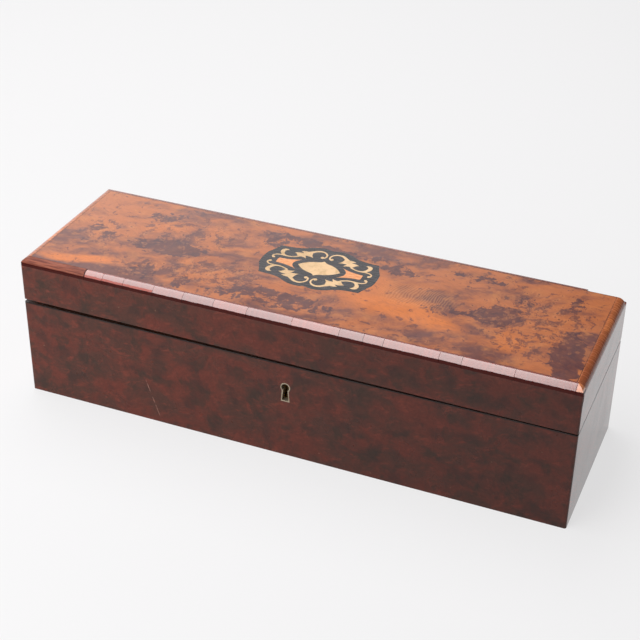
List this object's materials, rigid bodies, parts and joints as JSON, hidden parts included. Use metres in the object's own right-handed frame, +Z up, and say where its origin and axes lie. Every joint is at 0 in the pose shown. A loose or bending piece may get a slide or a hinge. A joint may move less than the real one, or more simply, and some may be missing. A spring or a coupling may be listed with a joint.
{
  "type": "antique glove box",
  "caption": "Long low box in burl veneer with an inlaid cartouche on its hinged lid, a keyhole lock and padded linings.",
  "frame": {"origin": "middle of the underside", "axes": "+Z up, X along the length with +X to the right seen from the front, the front faces -Y"},
  "size_m": [0.3, 0.092, 0.082],
  "materials": {
    "burl_top": "french polished burl veneer",
    "burl_sides": "french polished dark burl veneer",
    "banding": "french polished cross-grained banding",
    "carcase": "bare sawn wood",
    "underside": "bare darkened wood",
    "ebonised_wood": "polished ebonised veneer",
    "amber_wood": "polished orange veneer",
    "inlay_brass": "polished, lightly engraved",
    "lock_brass": "tarnished sheet brass",
    "hinge_brass": "tarnished brass",
    "screw_steel": "dark steel",
    "lock_steel": "filed steel",
    "keyhole_brass": "worn pale brass",
    "satin_wall": "silk satin, padded",
    "satin_pad": "silk satin, buttoned"
  },
  "bodies": {
    "base": {"base_floor_board": "underside", "base_front_board": "carcase", "base_back_board": "carcase", "base_left_board": "carcase", "base_right_board": "carcase", "base_front_veneer": "burl_sides", "base_back_veneer": "burl_sides", "base_left_veneer": "burl_sides", "base_right_veneer": "burl_sides", "keyhole_thread": "keyhole_brass", "lock_plate": "lock_brass", "lock_cap": "lock_brass", "lock_drill_pin": "lock_steel", "lock_studs": "lock_steel", "lock_screws": "screw_steel", "hinge_base_leaves": "hinge_brass", "hinge_pins": "lock_steel", "hinge_base_screws": "screw_steel", "well_front_lining": "satin_wall", "well_back_lining": "satin_wall", "well_left_lining": "satin_wall", "well_right_lining": "satin_wall", "well_floor_pad": "satin_pad"},
    "lid": {"lid_top_board": "carcase", "lid_front_board": "carcase", "lid_back_board": "carcase", "lid_left_board": "carcase", "lid_right_board": "carcase", "lid_top_veneer": "burl_top", "lid_front_veneer": "burl_sides", "lid_back_veneer": "burl_sides", "lid_left_veneer": "burl_sides", "lid_right_veneer": "burl_sides", "lid_front_banding": "banding", "lid_back_banding": "banding", "lid_left_banding": "banding", "lid_right_banding": "banding", "cartouche_ground": "ebonised_wood", "cartouche_lozenge": "inlay_brass", "cartouche_panels": "amber_wood", "cartouche_scrolls": "inlay_brass", "link_plate": "lock_brass", "link_screws": "screw_steel", "hinge_lid_leaves": "hinge_brass", "hinge_lid_screws": "screw_steel", "lid_front_lining": "satin_wall", "lid_back_lining": "satin_wall", "lid_left_lining": "satin_wall", "lid_right_lining": "satin_wall", "lid_pad": "satin_pad"},
    "bolt": {"lock_bolt": "lock_steel", "bolt_spring": "lock_steel"}
  },
  "joints": [
    {"name": "lid_hinge", "type": "hinge", "parent": "base", "child": "lid", "pos_m": [0, 0.0438, 0.056], "axis": [-1, 0, 0], "range_deg": [0, 98]},
    {"name": "bolt_slide", "type": "slide", "parent": "base", "child": "bolt", "axis": [1, 0, 0], "range_m": [0, 0.0035]}
  ]
}
